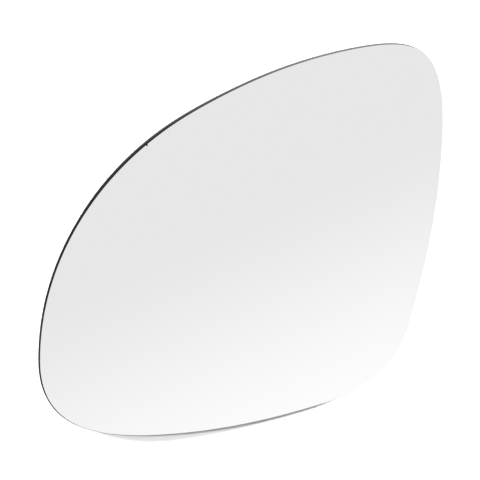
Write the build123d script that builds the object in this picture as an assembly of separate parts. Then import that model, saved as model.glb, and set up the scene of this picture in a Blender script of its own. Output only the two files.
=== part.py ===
from build123d import *
from math import cos, degrees, isclose, radians, sin, sqrt
import os

# Car door mirror glass for the left-hand side, lying on its back, in millimetres.
# The mirror face looks up along +Z, the car's upward direction is +Y and the inboard side is +X.
# The origin is on the axis of the clip ring, at the ring's foot, where the part rests.

# Glass: one convex sheet, bent to a sphere, its edge ground
face_radius = 1400.0
glass_thickness = 2.0
arris_bevel = 0.2

# Outline of the glass seen square on, as the points of one closed smooth curve
glass_outline = [
    (-91.4, -30.3),   # outboard side, furthest out
    (-82.6, -58.2),   # lower outboard corner
    (-37.5, -77.5),   # bottom edge, rising outboard
    (36.4, -81.1),    # bottom edge, end of the lowest stretch
    (50.3, -79.4),    # into the lower inboard corner
    (72.7, -65.1),    # lower inboard corner
    (80.8, -43.6),    # out of the lower inboard corner
    (91.4, 31.7),     # inboard side, furthest in
    (81.0, 74.7),     # upper inboard corner
    (48.4, 81.9),     # top edge, highest stretch
    (-17.3, 69.9),    # top edge, falling outboard
    (-30.3, 64.6),    # into the swept outboard shoulder
]

# Chip: a small flake lost from the front edge of the glass, on the swept shoulder
chip_place = 0.8195      # along the outline, as a share of its length from the first point
chip_reach = 0.8         # in from the edge, on the mirror face
chip_depth = 0.33        # below the mirror face, at the edge

# Adhesive pad: foam sheet that bonds the glass to the backing plate
pad_thickness = 0.6
pad_margin = 8.0         # from the edge of the glass to the edge of the pad
pad_clearance = 0.4      # from the edge of the pad to the wall of its recess

# Backing plate: one moulding, curved like the glass, set back from its edge
plate_margin = 2.9       # from the edge of the glass to the edge of the plate
plate_wall = 1.8         # wall behind the pad
rim_wall = 1.6           # stiffening rim along the edge of the plate
web_height = 4.4         # rim, hoop and ribs all end in one plane, this far above the ring's foot
rib_wall = 1.4
rib_fillet = 0.6         # round in the corners where a rib meets the rim or the hoop
rib_count = 24           # radial ribs from the hoop to the rim
hoop_radius = 48.0       # stiffening hoop between the clip ring and the rim, to its middle
tie_count = 3            # ribs from each fixed stretch of the clip ring to the hoop
corner_reach = 0.001     # a corner this near to the side of a rib lies on it

# Clip ring: snaps over the swivel plate of the mirror's adjuster
ring_depth = 9.0         # from the ring's foot to the back of the plate, on the axis
ring_bore_radius = 30.0
ring_wall = 2.0
finger_count = 4
finger_angle = 36.0
first_finger = 45.0      # direction of one finger, from the inboard side
finger_slot = 1.5        # slot on each side of a finger, which lets it spring outwards
slot_root = 1.2          # wall left between the end of a slot and the plate
finger_setback = 0.5     # fingers end above the ring's foot, so that the part rests on the fixed wall
hook_foot = 0.3          # plain wall between the finger's end and the hook's lead-in
hook_lead = 1.8          # height of the slope that the swivel plate's rim rides over
hook_land = 1.6          # height of the hook's inner face
hook_reach = 1.2         # how far the hook stands in from the bore
window_clearance = 0.3   # round each hook, in the window through the plate behind it
key_width = 4.0          # key in the bore, which lets the glass clip on one way round only
key_reach = 1.2

# Radii of the shared faces, all about one centre of curvature
seat_radius = face_radius - glass_thickness   # back of the glass, which the pad and the plate's border meet
recess_radius = seat_radius - pad_thickness   # back of the pad, floor of its recess
back_radius = recess_radius - plate_wall      # back of the plate
weld_radius = back_radius + plate_wall / 2    # ring and ribs run this far into the plate's wall
centre_z = ring_depth - back_radius
bend_centre = (0, 0, centre_z)
height = centre_z + face_radius

# Heights and angles of the clip ring and the ribs
hook_ledge = finger_setback + hook_foot + hook_lead + hook_land
slot_angle = degrees(finger_slot / ring_bore_radius)
hook_angle = finger_angle - slot_angle
fixed_angle = 360 / finger_count - finger_angle - slot_angle
finger_angles = [first_finger + i * 360 / finger_count for i in range(finger_count)]
fixed_angles = [angle - 180 / finger_count for angle in finger_angles]
tie_turns = [((i + 0.5) / tie_count - 0.5) * fixed_angle for i in range(tie_count)]
tie_angles = [angle + turn for angle in fixed_angles for turn in tie_turns]
rib_angles = [(i + 0.5) * 360 / rib_count for i in range(rib_count)]


def inset(margin):
    """Face inside the glass outline, each point of the curve moved in square to the edge."""
    points = []
    for point in glass_outline:
        along = glass_edge.tangent_at(Vector(point))
        points.append(Vector(point) + margin * Vector(-along.Y, along.X))
    return Pos(-edge_box.center()) * make_face(Spline(*points, periodic=True))


def column(margin):
    """Upright prism over the inset outline, taller than the part."""
    return extrude(inset(margin), amount=height + plate_wall)


def ball(radius, centre):
    """Ball about a point, turned so that its poles and seam lie level with its centre, off the part."""
    return Pos(centre) * Rot(90, 0, 0) * Sphere(radius)


def dished(solid, outer, inner):
    """The layer of a solid between two radii about the centre of curvature."""
    return (solid & ball(outer, bend_centre)) - ball(inner, bend_centre)


def edge_chip():
    """Shallow ball-shaped flake at one place on the front edge."""
    place = glass_edge.position_at(chip_place) - edge_box.center()
    face_z = centre_z + sqrt(face_radius**2 - place.X**2 - place.Y**2)
    flake_radius = (chip_reach**2 + chip_depth**2) / (2 * chip_depth)
    return ball(flake_radius, (place.X, place.Y, face_z - chip_depth + flake_radius))


def mirror_glass():
    """Bent sheet of glass with both edges bevelled and the flake gone."""
    sheet = dished(column(0), face_radius, seat_radius)
    faces = sheet.faces().sort_by(Axis.Z)
    arrises = faces[-1].edges() + faces[0].edges()
    return chamfer(arrises, arris_bevel) - edge_chip()


def adhesive_pad():
    """Foam sheet between the glass and the backing plate."""
    return dished(column(pad_margin), seat_radius, recess_radius)


def curved_wall():
    """Wall of the backing plate, with the shallow recess that takes the pad."""
    wall = dished(column(plate_margin), seat_radius, back_radius)
    return wall - dished(column(pad_margin - pad_clearance), seat_radius + pad_thickness, recess_radius)


def annulus(radius, wall):
    """Flat ring of a wall's width, from its inner radius outwards."""
    return Circle(radius + wall) - Circle(radius)


def spokes(angles, start, end):
    """Flat radial strips of the ribs' width."""
    strip = Pos((start + end) / 2, 0) * Rectangle(end - start, rib_wall)
    return [Rot(0, 0, angle) * strip for angle in angles]


def beside_rib(corner):
    """Whether a corner of the web lies on the side of a radial rib."""
    turns = [radians(angle) for angle in rib_angles + tie_angles]
    offsets = [corner.X * sin(turn) - corner.Y * cos(turn) for turn in turns]
    return any(isclose(abs(offset), rib_wall / 2, abs_tol=corner_reach) for offset in offsets)


def stiffening_web():
    """Rim, hoop and ribs on the back of the plate."""
    rim = inset(plate_margin) - inset(plate_margin + rim_wall)
    hoop = annulus(hoop_radius - rib_wall / 2, rib_wall)
    ring_radius = ring_bore_radius + ring_wall / 2
    ribs = spokes(rib_angles, hoop_radius, edge_box.diagonal / 2)
    ties = spokes(tie_angles, ring_radius, hoop_radius)
    web = rim + hoop + [rib & inset(plate_margin + rim_wall / 2) for rib in ribs] + ties
    web = fillet([corner for corner in web.vertices() if beside_rib(corner)], rib_fillet)
    return extrude(Pos(0, 0, web_height) * web, amount=height) & ball(weld_radius, bend_centre)


def sector(inner, outer, angle, turn):
    """Flat piece of a ring, centred on a direction."""
    line = Line((inner, 0), (outer, 0))
    arms = Rot(0, 0, turn - angle / 2) * line
    return revolve(arms, axis=Axis.Z, revolution_arc=angle)


def hook(turn):
    """Hook on the inside of one finger, a slope to ride over and a ledge to hold behind."""
    wall = ring_bore_radius + ring_wall / 2
    tip = ring_bore_radius - hook_reach
    land = hook_ledge - hook_land
    lead = land - hook_lead
    points = [(wall, lead), (ring_bore_radius, lead), (tip, land), (tip, hook_ledge), (wall, hook_ledge)]
    profile = make_face(Plane.XZ * Polyline(*points, close=True))
    return revolve(Rot(0, 0, turn - hook_angle / 2) * profile, axis=Axis.Z, revolution_arc=hook_angle)


def finger_cuts(turn):
    """The two slots beside one finger, and the gap under it."""
    slot_height = ring_depth - slot_root
    slot = Pos(ring_bore_radius + ring_wall / 2, 0, slot_height / 2)
    slot *= Box(2 * ring_wall, finger_slot, slot_height)
    slots = [Rot(0, 0, turn + side * finger_angle / 2) * slot for side in (-1, 1)]
    foot = sector(ring_bore_radius - ring_wall, ring_bore_radius + 2 * ring_wall, finger_angle, turn)
    return slots + [extrude(foot, amount=finger_setback)]


def hook_window(turn):
    """Opening through the plate behind one hook, where the mould reaches the hook's ledge."""
    depth = hook_reach + window_clearance
    flat = sector(ring_bore_radius - depth, ring_bore_radius, hook_angle, turn)
    return extrude(Pos(0, 0, hook_ledge) * flat, amount=height)


def locating_key():
    """Upright bar in the bore, on one fixed stretch of the ring."""
    depth = key_reach + ring_wall / 2
    bar = Pos(ring_bore_radius - key_reach + depth / 2, 0) * Rectangle(depth, key_width)
    return Rot(0, 0, fixed_angles[0]) * extrude(bar, amount=height) & ball(weld_radius, bend_centre)


def clip_ring():
    """Ring with its springing fingers, their hooks and the key."""
    wall = extrude(annulus(ring_bore_radius, ring_wall), amount=height) & ball(weld_radius, bend_centre)
    for turn in finger_angles:
        wall = wall - finger_cuts(turn) + hook(turn)
    return wall + locating_key()


def backing_plate():
    """The whole moulding, with a window behind each hook."""
    plate = curved_wall() + stiffening_web() + clip_ring()
    return plate - [hook_window(turn) for turn in finger_angles]


glass_edge = Spline(*glass_outline, periodic=True)
edge_box = glass_edge.bounding_box()

os.makedirs("parts", exist_ok=True)
for name, shape in {
    "mirror_glass": mirror_glass(),
    "adhesive_pad": adhesive_pad(),
    "backing_plate": backing_plate(),
}.items():
    export_step(shape, f"parts/{name}.step")
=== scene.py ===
"""Car door mirror glass, lying on its back on a white studio floor.

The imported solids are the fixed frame. The glass is modelled again as a fine bent sheet with rounded
arrises and a chip, and every piece gets its finish here. Lengths are in metres, angles in degrees.
"""

import logging
import math
from dataclasses import dataclass
from enum import Enum

import bpy
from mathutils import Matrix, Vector


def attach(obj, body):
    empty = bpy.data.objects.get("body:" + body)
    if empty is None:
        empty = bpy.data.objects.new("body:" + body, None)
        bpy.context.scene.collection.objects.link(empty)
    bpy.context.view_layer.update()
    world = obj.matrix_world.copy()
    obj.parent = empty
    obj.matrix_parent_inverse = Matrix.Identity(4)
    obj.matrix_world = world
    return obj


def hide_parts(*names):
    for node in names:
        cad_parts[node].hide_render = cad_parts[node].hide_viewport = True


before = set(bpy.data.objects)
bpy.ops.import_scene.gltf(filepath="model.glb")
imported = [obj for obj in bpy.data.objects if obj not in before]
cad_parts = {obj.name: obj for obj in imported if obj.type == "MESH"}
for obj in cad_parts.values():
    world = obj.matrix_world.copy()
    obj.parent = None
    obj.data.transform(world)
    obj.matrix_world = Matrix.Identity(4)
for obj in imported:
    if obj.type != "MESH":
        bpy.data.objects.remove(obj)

log = logging.getLogger("mirror_glass_scene")

ROOT_BODY = "root"
MM = 0.001

Colour = tuple[float, float, float]
Direction = tuple[float, float, float]
Span = tuple[float, float]


class Node(str, Enum):
    """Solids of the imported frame."""

    GLASS = "mirror_glass"
    PAD = "adhesive_pad"
    PLATE = "backing_plate"


class Slot(str, Enum):
    """Material slots of the record."""

    GLASS = "silvered_glass"
    PAD = "foam_pad"
    PLATE = "moulded_backing"


class Face(Enum):
    """Which way a face of the glass looks, as its place in the material list."""

    SILVER = 0
    EDGE = 1
    BACK = 2


class NodeSheet:
    """A material's node tree, with short calls for the nodes that the finishes share."""

    def __init__(self, name: str) -> None:
        """Starts a material with one principled shader.

        Args:
            name: Name of the material.
        """
        self.material = bpy.data.materials.new(name)
        self.material.use_nodes = True
        self.tree = self.material.node_tree
        self.shader = self.tree.nodes["Principled BSDF"]

    def add(self, kind: str, **settings: object) -> bpy.types.Node:
        """Adds one node.

        Args:
            kind: Blender's name for the kind of node.
            settings: Properties of the node, by name.

        Returns:
            The new node.
        """
        node = self.tree.nodes.new(kind)
        for key, value in settings.items():
            setattr(node, key, value)
        return node

    def link(self, source: bpy.types.NodeSocket, target: bpy.types.NodeSocket) -> None:
        """Joins two sockets."""
        self.tree.links.new(source, target)

    def set(self, **values: object) -> None:
        """Sets constants on the shader's own sockets, with _ for a space in a socket's name."""
        for key, value in values.items():
            self.shader.inputs[key.replace("_", " ")].default_value = value

    def place(self) -> bpy.types.NodeSocket:
        """The point on the piece, in metres."""
        return self.add("ShaderNodeTexCoord").outputs["Object"]

    def noise(self, scale: float, detail: float, roughness: float = 0.5) -> bpy.types.NodeSocket:
        """Soft noise on the piece.

        Args:
            scale: Spots to the metre.
            detail: Octaves added.
            roughness: Weight of the finer octaves.

        Returns:
            The noise, about 0 to 1.
        """
        node = self.add("ShaderNodeTexNoise")
        node.inputs["Scale"].default_value = scale
        node.inputs["Detail"].default_value = detail
        node.inputs["Roughness"].default_value = roughness
        self.link(self.place(), node.inputs["Vector"])
        return node.outputs["Fac"]

    def along(self, way: Direction) -> bpy.types.NodeSocket:
        """How far a point lies from the origin in one direction.

        Args:
            way: The direction, of length one.

        Returns:
            The distance, in metres.
        """
        node = self.add("ShaderNodeVectorMath", operation="DOT_PRODUCT")
        self.link(self.place(), node.inputs[0])
        node.inputs[1].default_value = way
        return node.outputs["Value"]

    def bend_depth(self, apex: float, radius: float) -> bpy.types.NodeSocket:
        """How far a point lies behind a face that is bent to a large radius.

        Args:
            apex: Height of the face on the axis.
            radius: Radius of the bend.

        Returns:
            The depth, in metres.
        """
        far = self.add("ShaderNodeVectorMath", operation="DISTANCE")
        self.link(self.place(), far.inputs[0])
        far.inputs[1].default_value = (0.0, 0.0, apex - radius)
        depth = self.add("ShaderNodeMath", operation="SUBTRACT")
        depth.inputs[0].default_value = radius
        self.link(far.outputs["Value"], depth.inputs[1])
        return depth.outputs["Value"]

    def spread(self, source: bpy.types.NodeSocket, low: float, high: float,
               start: float = 0.3, end: float = 0.7) -> bpy.types.NodeSocket:
        """Maps a value onto a new range.

        Args:
            source: The value.
            low: Result at the start of the range.
            high: Result at its end.
            start: Value that gives low.
            end: Value that gives high.

        Returns:
            The mapped value.
        """
        node = self.add("ShaderNodeMapRange", interpolation_type="SMOOTHSTEP")
        for key, value in {"From Min": start, "From Max": end, "To Min": low, "To Max": high}.items():
            node.inputs[key].default_value = value
        self.link(source, node.inputs["Value"])
        return node.outputs["Result"]

    def blend(self, share: bpy.types.NodeSocket, first: Colour | bpy.types.NodeSocket,
              second: Colour | bpy.types.NodeSocket) -> bpy.types.NodeSocket:
        """Blends two colours.

        Args:
            share: Share of the second colour.
            first: Colour at a share of 0.
            second: Colour at a share of 1.

        Returns:
            The blended colour.
        """
        node = self.add("ShaderNodeMix", data_type="RGBA")
        sockets = [socket for socket in node.inputs if socket.type == "RGBA"]
        for socket, colour in zip(sockets, (first, second)):
            if isinstance(colour, tuple):
                socket.default_value = (*colour, 1.0)
            else:
                self.link(colour, socket)
        self.link(share, node.inputs["Factor"])
        return next(socket for socket in node.outputs if socket.type == "RGBA")

    def bump(self, height: bpy.types.NodeSocket, depth: float, strength: float) -> None:
        """Roughens the shader's normal.

        Args:
            height: Height of the relief, 0 to 1.
            depth: Depth of the relief, in metres.
            strength: Share of the relief that shows.
        """
        node = self.add("ShaderNodeBump")
        node.inputs["Distance"].default_value = depth
        node.inputs["Strength"].default_value = strength
        self.link(height, node.inputs["Height"])
        self.link(node.outputs["Normal"], self.shader.inputs["Normal"])

    def feed(self, socket: str, source: bpy.types.NodeSocket) -> None:
        """Joins a value to one of the shader's sockets."""
        self.link(source, self.shader.inputs[socket])


@dataclass(frozen=True)
class Silvering:
    """Mirror face: silver seen through clear glass, with a breath of haze."""

    tint: Colour = (0.9, 0.9, 0.9)
    roughness: Span = (0.01, 0.03)
    haze_spots: float = 45.0
    haze_detail: float = 4.0

    def material(self) -> bpy.types.Material:
        """Makes the material.

        Returns:
            The material.
        """
        sheet = NodeSheet("silvering")
        sheet.set(Base_Color=(*self.tint, 1.0), Metallic=1.0)
        haze = sheet.noise(self.haze_spots, self.haze_detail)
        sheet.feed("Roughness", sheet.spread(haze, *self.roughness))
        return sheet.material


@dataclass(frozen=True)
class GroundEdge:
    """Edge of the sheet: ground glass, its colour painted with light and shade.

    Near black on the outboard side as painted shade, a touch paler at its outboard end. Paler along the
    top edge and towards the car as painted light, the back of the sheet sooner than the front. Distances
    run from the origin towards the car.
    """

    # Near black as painted shade; paler as painted light along the top, towards the car and at the back
    painted_shade_end: Colour = (0.0016, 0.0016, 0.0016)
    painted_shade_black: Colour = (0.001, 0.001, 0.001)
    painted_half_light: Colour = (0.026, 0.0263, 0.0263)
    painted_light_pale: Colour = (0.275, 0.278, 0.278)
    painted_light_back: Colour = (0.1, 0.101, 0.101)
    inboard: Direction = (0.978, -0.208, 0.0)
    shade_end_span: Span = (-66.0 * MM, -57.0 * MM)
    half_light_span: Span = (-58.0 * MM, 22.0 * MM)
    ends: Span = (57.0 * MM, 75.0 * MM)
    back_light_span: Span = (-75.0 * MM, 60.0 * MM)
    back_starts: Span = (0.45, 0.7)  # depth behind the face, as shares of the thickness
    roughness: Span = (0.42, 0.62)
    gloss: float = 0.02
    grain: float = 5200.0
    grain_detail: float = 2.0
    grain_depth: float = 0.02 * MM
    grain_share: float = 0.5

    def material(self, apex: float, thickness: float, face_radius: float) -> bpy.types.Material:
        """Makes the material.

        Args:
            apex: Height of the mirror face on the axis.
            thickness: Thickness of the sheet.
            face_radius: Radius that the sheet is bent to.

        Returns:
            The material.
        """
        sheet = NodeSheet("ground_edge")
        across = sheet.along(self.inboard)
        depth = sheet.bend_depth(apex, face_radius)
        # Painted light and shade: darker outboard, paler towards the car and behind the face
        inwards = sheet.spread(depth, 0.0, 1.0, *(share * thickness for share in self.back_starts))
        front = sheet.blend(sheet.spread(across, 0.0, 1.0, *self.half_light_span), self.painted_shade_black, self.painted_half_light)
        front = sheet.blend(sheet.spread(across, 0.0, 1.0, *self.shade_end_span), self.painted_shade_end, front)
        front = sheet.blend(sheet.spread(across, 0.0, 1.0, *self.ends), front, self.painted_light_pale)
        back = sheet.blend(sheet.spread(across, 0.0, 1.0, *self.back_light_span), self.painted_shade_black, self.painted_light_back)
        sheet.feed("Base Color", sheet.blend(inwards, front, back))
        grain = sheet.noise(self.grain, self.grain_detail)
        sheet.feed("Roughness", sheet.spread(grain, *self.roughness))
        sheet.set(Specular_IOR_Level=self.gloss)
        sheet.bump(grain, self.grain_depth, self.grain_share)
        return sheet.material


@dataclass(frozen=True)
class BrokenGlass:
    """Hollow of the chip: broken glass, near black as painted shade in the hollow."""

    # Painted shade: both tones near black, and the ripples vary between them at random
    deep: Colour = (0.0015, 0.0015, 0.0015)
    pale: Colour = (0.0045, 0.0047, 0.0047)
    roughness: Span = (0.12, 0.3)
    gloss: float = 0.05
    ripples: float = 2200.0
    ripple_detail: float = 3.0
    ripple_depth: float = 0.05 * MM
    ripple_share: float = 0.5

    def material(self) -> bpy.types.Material:
        """Makes the material.

        Returns:
            The material.
        """
        sheet = NodeSheet("broken_glass")
        ripples = sheet.noise(self.ripples, self.ripple_detail)
        sheet.feed("Base Color", sheet.blend(sheet.spread(ripples, 0.0, 1.0), self.deep, self.pale))
        sheet.feed("Roughness", sheet.spread(ripples, *self.roughness))
        sheet.set(Specular_IOR_Level=self.gloss)
        sheet.bump(ripples, self.ripple_depth, self.ripple_share)
        return sheet.material


@dataclass(frozen=True)
class BackPaint:
    """Protective paint on the silvered back of the sheet."""

    colour: Colour = (0.045, 0.047, 0.05)
    faded: Colour = (0.065, 0.067, 0.07)
    roughness: Span = (0.35, 0.5)
    mottle: float = 160.0
    mottle_detail: float = 5.0
    mottle_depth: float = 0.03 * MM
    mottle_share: float = 0.3

    def material(self) -> bpy.types.Material:
        """Makes the material.

        Returns:
            The material.
        """
        sheet = NodeSheet("back_paint")
        spots = sheet.noise(self.mottle, self.mottle_detail)
        sheet.feed("Base Color", sheet.blend(sheet.spread(spots, 0.0, 1.0), self.colour, self.faded))
        sheet.feed("Roughness", sheet.spread(spots, *self.roughness))
        sheet.bump(spots, self.mottle_depth, self.mottle_share)
        return sheet.material


@dataclass(frozen=True)
class MouldedPlastic:
    """Backing plate: black moulding with a fine spark-eroded texture."""

    colour: Colour = (0.01, 0.01, 0.0103)
    worn: Colour = (0.014, 0.014, 0.0145)
    roughness: Span = (0.46, 0.64)
    flow_marks: float = 28.0
    flow_detail: float = 4.0
    grain: float = 2600.0
    grain_detail: float = 3.0
    grain_fineness: float = 0.6
    grain_depth: float = 0.04 * MM
    grain_share: float = 0.6

    def material(self) -> bpy.types.Material:
        """Makes the material.

        Returns:
            The material.
        """
        sheet = NodeSheet("moulded_plastic")
        flow = sheet.noise(self.flow_marks, self.flow_detail)
        grain = sheet.noise(self.grain, self.grain_detail, self.grain_fineness)
        sheet.feed("Base Color", sheet.blend(sheet.spread(flow, 0.0, 1.0), self.colour, self.worn))
        sheet.feed("Roughness", sheet.spread(grain, *self.roughness))
        sheet.bump(grain, self.grain_depth, self.grain_share)
        return sheet.material


@dataclass(frozen=True)
class CellFoam:
    """Adhesive pad: closed-cell foam."""

    colour: Colour = (0.13, 0.13, 0.13)
    pale: Colour = (0.19, 0.19, 0.19)
    pales: Span = (0.1, 0.6)  # from the middle of a cell to its wall
    roughness: float = 0.9
    cells: float = 2400.0
    cell_depth: float = 0.1 * MM
    cell_share: float = 0.5

    def material(self) -> bpy.types.Material:
        """Makes the material.

        Returns:
            The material.
        """
        sheet = NodeSheet("cell_foam")
        cells = sheet.add("ShaderNodeTexVoronoi")
        cells.inputs["Scale"].default_value = self.cells
        sheet.link(sheet.place(), cells.inputs["Vector"])
        relief = cells.outputs["Distance"]
        walls = sheet.spread(relief, 0.0, 1.0, *self.pales)
        sheet.feed("Base Color", sheet.blend(walls, self.colour, self.pale))
        sheet.set(Roughness=self.roughness)
        sheet.bump(relief, self.cell_depth, self.cell_share)
        return sheet.material


@dataclass(frozen=True)
class PaperFloor:
    """White background paper, which the studio's lights over-expose."""

    colour: Colour = (0.42, 0.42, 0.42)
    shade: Colour = (0.41, 0.41, 0.41)
    tooth: float = 900.0
    tooth_detail: float = 2.0

    def material(self) -> bpy.types.Material:
        """Makes the material.

        Returns:
            The material.
        """
        sheet = NodeSheet("background_paper")
        tooth = sheet.noise(self.tooth, self.tooth_detail)
        sheet.feed("Base Color", sheet.blend(tooth, self.colour, self.shade))
        sheet.set(Roughness=1.0, Specular_IOR_Level=0.0)
        return sheet.material


def deselect() -> None:
    """Empties the scene's selection."""
    bpy.ops.object.select_all(action="DESELECT")


def pick(piece: bpy.types.Object) -> None:
    """Makes one object the only one selected, and the active one.

    Args:
        piece: The object.
    """
    deselect()
    piece.select_set(True)
    bpy.context.view_layer.objects.active = piece


def apply_modifier(piece: bpy.types.Object, kind: str, **settings: object) -> None:
    """Adds a modifier to a piece and applies it.

    Args:
        piece: The object.
        kind: Blender's name for the kind of modifier.
        settings: Properties of the modifier, by name.
    """
    pick(piece)
    modifier = piece.modifiers.new(kind.lower(), kind)
    for key, value in settings.items():
        setattr(modifier, key, value)
    bpy.ops.object.modifier_apply(modifier=modifier.name)


@dataclass
class MirrorSheet:
    """The sheet of glass: a bent face, rounded arrises, a ground edge and one chip."""

    solid: bpy.types.Object
    face_radius: float = 1400.0 * MM
    thickness: float = 2.0 * MM

    # Arrises, the front one ground wider round the lower outboard corner
    arris: float = 0.2 * MM
    back_arris: float = 0.05 * MM
    wide_arris: float = 0.62 * MM
    wide_place: tuple[float, float] = (-85.0 * MM, -54.0 * MM)
    wide_reach: float = 24.0 * MM
    arris_steps: int = 3
    arris_angle: float = 60.0  # a corner sharper than this is an arris

    # Mesh of the face, in rings from the outline to the middle
    outline_count: int = 288
    ring_count: int = 20
    ring_shrink: float = 0.87

    # How faces are told apart, by the upward share of their normals
    edge_slope: float = 0.3  # less on the solid's upright edge
    face_slope: float = 0.99  # more on the mirror face, and as much downwards on the back
    point_grid: float = 0.02 * MM  # corners in one square of this size are one point of the outline

    # Chip in the front edge, on the swept shoulder
    chip_place: tuple[float, float] = (-43.77 * MM, 57.08 * MM)
    chip_reach: float = 0.8 * MM
    chip_depth: float = 0.33 * MM
    chip_narrowing: float = 0.6
    chip_turn: float = 40.0
    chip_fineness: int = 4
    chip_unevenness: float = 0.05 * MM
    chip_seed: int = 4

    silvering: Silvering = Silvering()
    ground_edge: GroundEdge = GroundEdge()
    back_paint: BackPaint = BackPaint()
    broken_glass: BrokenGlass = BrokenGlass()

    def outline(self) -> list[Vector]:
        """Points of the solid's upright edge, in order round it.

        Returns:
            The points, flat, each once.
        """
        mesh = self.solid.data
        corners = {}
        for polygon in mesh.polygons:
            if abs(polygon.normal.z) < self.edge_slope:
                for index in polygon.vertices:
                    x, y, _ = mesh.vertices[index].co
                    square = round(x / self.point_grid), round(y / self.point_grid)
                    corners[square] = Vector((x, y, 0.0))
        return sorted(corners.values(), key=lambda point: math.atan2(point.y, point.x))

    def even_outline(self) -> list[Vector]:
        """Evenly spaced points on the smooth curve through the outline.

        Returns:
            As many points as the sheet has round its edge.
        """
        points = self.outline()
        count = len(points)
        tangents = [(points[(i + 1) % count] - points[i - 1]) for i in range(count)]
        lengths = [(points[(i + 1) % count] - points[i]).length for i in range(count)]
        spans = [lengths[i - 1] + lengths[i] for i in range(count)]
        step = sum(lengths) / self.outline_count
        even, start = [], 0.0
        for i, length in enumerate(lengths):
            first, last = points[i], points[(i + 1) % count]
            leave = tangents[i] * (length / spans[i])
            arrive = tangents[(i + 1) % count] * (length / spans[(i + 1) % count])
            while len(even) < self.outline_count and len(even) * step < start + length:
                t = (len(even) * step - start) / length
                even.append(
                    first * (2 * t**3 - 3 * t**2 + 1) + leave * (t**3 - 2 * t**2 + t)
                    + last * (3 * t**2 - 2 * t**3) + arrive * (t**3 - t**2)
                )
            start += length
        return even

    def drop(self, x: float, y: float) -> float:
        """How far the mirror face lies below its own top at a place."""
        return self.face_radius - math.sqrt(self.face_radius**2 - x**2 - y**2)

    def apex(self) -> float:
        """Height of the mirror face over the origin, from the highest point of the solid."""
        best = max(self.solid.data.vertices, key=lambda vertex: vertex.co.z).co
        return best.z + self.drop(best.x, best.y)

    def front_arris(self, x: float, y: float) -> float:
        """Width of the front arris at a place, ground wider round the lower outboard corner."""
        near = max(0.0, 1.0 - math.dist((x, y), self.wide_place) / self.wide_reach)
        return self.arris + (self.wide_arris - self.arris) * near

    def build(self) -> bpy.types.Object:
        """Models the sheet.

        Returns:
            The finished object.
        """
        deselect()
        bpy.ops.mesh.primitive_circle_add(vertices=self.outline_count, fill_type="NGON")
        sheet = bpy.context.object
        sheet.name = "bent_mirror_sheet"
        for vertex, point in zip(sheet.data.vertices, self.even_outline()):
            vertex.co = point
        bpy.ops.object.mode_set(mode="EDIT")
        bpy.ops.mesh.select_mode(type="FACE")
        bpy.ops.mesh.select_all(action="SELECT")
        shrink = (self.ring_shrink, self.ring_shrink, 1.0)
        for _ in range(self.ring_count):
            bpy.ops.mesh.inset(thickness=0.0, use_boundary=True)
            bpy.ops.transform.resize(value=shrink, center_override=(0, 0, 0))
        bpy.ops.mesh.poke()
        bpy.ops.mesh.select_all(action="SELECT")
        bpy.ops.mesh.normals_make_consistent(inside=False)
        bpy.ops.object.mode_set(mode="OBJECT")
        self.bend(sheet)
        apply_modifier(sheet, "SOLIDIFY", thickness=self.thickness, offset=-1.0, use_even_offset=True)
        self.weigh_arrises(sheet)
        apply_modifier(sheet, "BEVEL", width=self.wide_arris, segments=self.arris_steps,
                       limit_method="WEIGHT")
        self.dress(sheet)
        self.break_chip(sheet)
        return sheet

    def bend(self, sheet: bpy.types.Object) -> None:
        """Drops every point of the flat sheet onto the sphere of the mirror face.

        Args:
            sheet: The flat sheet.
        """
        apex = self.apex()
        for vertex in sheet.data.vertices:
            vertex.co.z = apex - self.drop(vertex.co.x, vertex.co.y)

    def weigh_arrises(self, sheet: bpy.types.Object) -> None:
        """Marks the front and back corners of the sheet for rounding, the back one for less.

        Args:
            sheet: The bent sheet, with its thickness and sharp corners.
        """
        pick(sheet)
        bpy.ops.object.mode_set(mode="EDIT")
        bpy.ops.mesh.select_mode(type="EDGE")
        bpy.ops.mesh.select_all(action="DESELECT")
        bpy.ops.mesh.edges_select_sharp(sharpness=math.radians(self.arris_angle))
        bpy.ops.object.mode_set(mode="OBJECT")
        weights = sheet.data.attributes.new("bevel_weight_edge", "FLOAT", "EDGE")
        apex = self.apex()
        for edge in sheet.data.edges:
            if edge.select:
                x, y, z = sheet.data.vertices[edge.vertices[0]].co
                at_back = apex - self.drop(x, y) - z > self.thickness / 2
                width = self.back_arris if at_back else self.front_arris(x, y)
                weights.data[edge.index].value = width / self.wide_arris

    def dress(self, sheet: bpy.types.Object) -> None:
        """Gives the face, the edge and the back their finishes, with a sharp line where two meet.

        Args:
            sheet: The bent sheet, with its arrises rounded.
        """
        finishes = {
            Face.EDGE: self.ground_edge.material(self.apex(), self.thickness, self.face_radius),
            Face.SILVER: self.silvering.material(),
            Face.BACK: self.back_paint.material(),
        }
        for face in Face:
            sheet.data.materials.append(finishes[face])
        for polygon in sheet.data.polygons:
            polygon.use_smooth = True
            side = Face.SILVER if polygon.normal.z > self.face_slope else Face.EDGE
            side = Face.BACK if polygon.normal.z < -self.face_slope else side
            polygon.material_index = side.value
        for face in (Face.SILVER, Face.BACK):
            self.sharpen(sheet, face.value)

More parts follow.
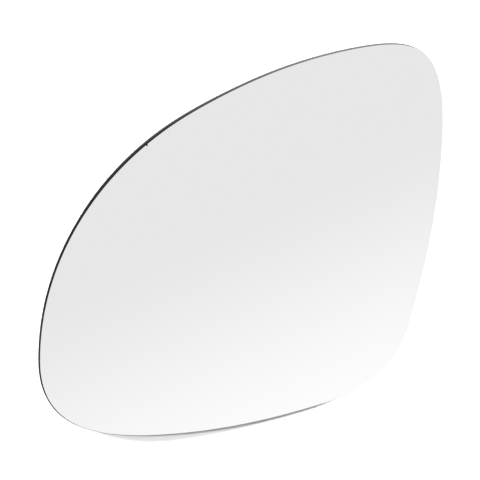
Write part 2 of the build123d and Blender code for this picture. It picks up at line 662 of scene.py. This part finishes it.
    def break_chip(self, sheet: bpy.types.Object) -> None:
        """Takes one shallow flake from the front edge of the sheet.

        Args:
            sheet: The dressed sheet.
        """
        x, y = self.chip_place
        radius = (self.chip_reach**2 + self.chip_depth**2) / (2 * self.chip_depth)
        height = self.apex() - self.drop(x, y) - self.chip_depth + radius
        deselect()
        bpy.ops.mesh.primitive_ico_sphere_add(
            subdivisions=self.chip_fineness, radius=radius, location=(x, y, height),
            rotation=(0.0, 0.0, math.radians(self.chip_turn)), scale=(self.chip_narrowing, 1.0, 1.0),
        )
        flake = bpy.context.object
        flake.data.materials.append(self.broken_glass.material())
        bpy.ops.object.mode_set(mode="EDIT")
        bpy.ops.transform.vertex_random(offset=self.chip_unevenness, normal=1.0, seed=self.chip_seed)
        bpy.ops.object.mode_set(mode="OBJECT")
        bpy.ops.object.shade_smooth()
        apply_modifier(sheet, "BOOLEAN", object=flake, operation="DIFFERENCE", solver="EXACT",
                       material_mode="TRANSFER")
        bpy.data.objects.remove(flake)
        self.sharpen(sheet, len(sheet.data.materials) - 1)

    def sharpen(self, sheet: bpy.types.Object, material_index: int) -> None:
        """Marks the line round all faces of one finish as sharp.

        Args:
            sheet: The dressed sheet.
            material_index: Place of the finish in the material list.
        """
        pick(sheet)
        bpy.ops.object.mode_set(mode="EDIT")
        bpy.ops.mesh.select_all(action="DESELECT")
        sheet.active_material_index = material_index
        bpy.ops.object.material_slot_select()
        bpy.ops.mesh.region_to_loop()
        bpy.ops.mesh.mark_sharp()
        bpy.ops.object.mode_set(mode="OBJECT")


@dataclass(frozen=True)
class SoftLight:
    """A wide, even light from one side, which the mirror face doesn't show as a spot."""

    name: str
    bearing: float
    climb: float
    spread: float
    strength: float

    def build(self) -> None:
        """Adds the light to the scene."""
        lamp = bpy.data.lights.new(self.name, "SUN")
        lamp.energy = self.strength
        lamp.angle = math.radians(self.spread)
        light = bpy.data.objects.new(self.name, lamp)
        level, rise = math.radians(self.bearing), math.radians(self.climb)
        flat = math.cos(rise)
        towards = Vector((flat * math.cos(level), flat * math.sin(level), math.sin(rise)))
        light.rotation_euler = towards.to_track_quat("Z", "Y").to_euler()
        light.visible_glossy = False
        bpy.context.scene.collection.objects.link(light)


@dataclass
class Studio:
    """White floor, an even sky with one brighter side, three soft lights and the camera."""

    paper: PaperFloor = PaperFloor()
    floor_size: float = 6.0
    floor_gap: float = 0.05 * MM  # keeps the paper clear of the ring's foot

    # Sky, in tones of the mirror face: it brightens away from sky_tilt, over a span of the cosine to
    # that direction, and ebbs further round, so that the face stands out when seen from behind
    sky: float = 0.799
    sky_bright: float = 0.99
    sky_colour: Colour = (1.0, 1.0, 1.0)
    sky_tilt: Direction = (-0.309, 0.951, 0.0)
    sky_rises: Span = (-0.487, -0.745)
    sky_ebbs: Span = (-0.78, -0.9)
    mirror_share: float = 0.9  # share of the light that the silvering sends back

    # Camera
    aim: tuple[float, float, float] = (-4.32 * MM, 8.19 * MM, 13.4 * MM)
    from_left: float = 24.87
    from_above: float = 26.16
    distance: float = 815.5 * MM
    lens: float = 150.0

    # The left or the right light alone turns the paper white, so a shadow shows only where both are
    # hidden: pale where the upper light still falls, and dark where that is hidden too
    lights: tuple[SoftLight, ...] = (
        SoftLight("left_light", bearing=135.0, climb=28.7, spread=6.0, strength=14.6),
        SoftLight("right_light", bearing=59.8, climb=44.8, spread=6.0, strength=9.9),
        SoftLight("upper_light", bearing=130.9, climb=44.1, spread=3.0, strength=5.2),
    )

    def build(self) -> None:
        """Sets up everything that isn't part of the object."""
        self.floor()
        self.world()
        for light in self.lights:
            light.build()
        self.camera()
        bpy.context.scene.view_settings.view_transform = "Standard"

    def floor(self) -> None:
        """Lays the paper under the part."""
        deselect()
        bpy.ops.mesh.primitive_plane_add(size=self.floor_size, location=(0, 0, -self.floor_gap))
        paper = bpy.context.object
        paper.name = "studio_floor"
        paper.data.materials.append(self.paper.material())

    def world(self) -> None:
        """Makes the sky that the mirror face shows, with a band of brighter sky towards one side."""
        world = bpy.data.worlds.new("studio_sky")
        bpy.context.scene.world = world
        world.use_nodes = True
        nodes, links = world.node_tree.nodes, world.node_tree.links
        where = nodes.new("ShaderNodeTexCoord")
        along = nodes.new("ShaderNodeVectorMath")
        along.operation = "DOT_PRODUCT"
        along.inputs[1].default_value = self.sky_tilt
        links.new(where.outputs["Generated"], along.inputs[0])
        low, high = self.sky / self.mirror_share, self.sky_bright / self.mirror_share
        slopes = (*self.sky_rises, low, high), (*self.sky_ebbs, high, low)
        least = nodes.new("ShaderNodeMath")
        least.operation = "MINIMUM"
        for target, slope in zip(least.inputs, slopes):
            ramp = nodes.new("ShaderNodeMapRange")
            ramp.interpolation_type = "SMOOTHSTEP"
            for key, value in zip(("From Min", "From Max", "To Min", "To Max"), slope):
                ramp.inputs[key].default_value = value
            links.new(along.outputs["Value"], ramp.inputs["Value"])
            links.new(ramp.outputs["Result"], target)
        links.new(least.outputs["Value"], nodes["Background"].inputs["Strength"])
        nodes["Background"].inputs["Color"].default_value = (*self.sky_colour, 1.0)

    def camera(self) -> None:
        """Looks down on the mirror face as the photograph does."""
        eye = bpy.data.objects.new("camera", bpy.data.cameras.new("camera"))
        eye.data.lens = self.lens
        eye.rotation_euler = (-math.radians(self.from_above), -math.radians(self.from_left), 0.0)
        back = eye.rotation_euler.to_matrix() @ Vector((0.0, 0.0, 1.0))
        eye.location = Vector(self.aim) + back * self.distance
        bpy.context.scene.collection.objects.link(eye)
        bpy.context.scene.camera = eye


def dress_solid(node: Node, slot: Slot, finish: bpy.types.Material) -> None:
    """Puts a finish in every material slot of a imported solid.

    Args:
        node: The solid.
        slot: The record's slot that the finish stands for.
        finish: The material.
    """
    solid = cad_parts[node.value]
    for material_slot in solid.material_slots:
        material_slot.material = finish
    log.info("%s: %s as %s", solid.name, slot.value, finish.name)


def main() -> None:
    """Builds the glass, dresses the plate and the pad, and sets up the studio."""
    logging.basicConfig(level=logging.INFO, format="%(name)s: %(message)s")
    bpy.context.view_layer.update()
    sheet = MirrorSheet(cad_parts[Node.GLASS.value]).build()
    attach(sheet, ROOT_BODY)
    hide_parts(Node.GLASS.value)
    log.info("%s: %d faces", sheet.name, len(sheet.data.polygons))
    dress_solid(Node.PLATE, Slot.PLATE, MouldedPlastic().material())
    dress_solid(Node.PAD, Slot.PAD, CellFoam().material())
    Studio().build()


if __name__ == "__main__":
    main()
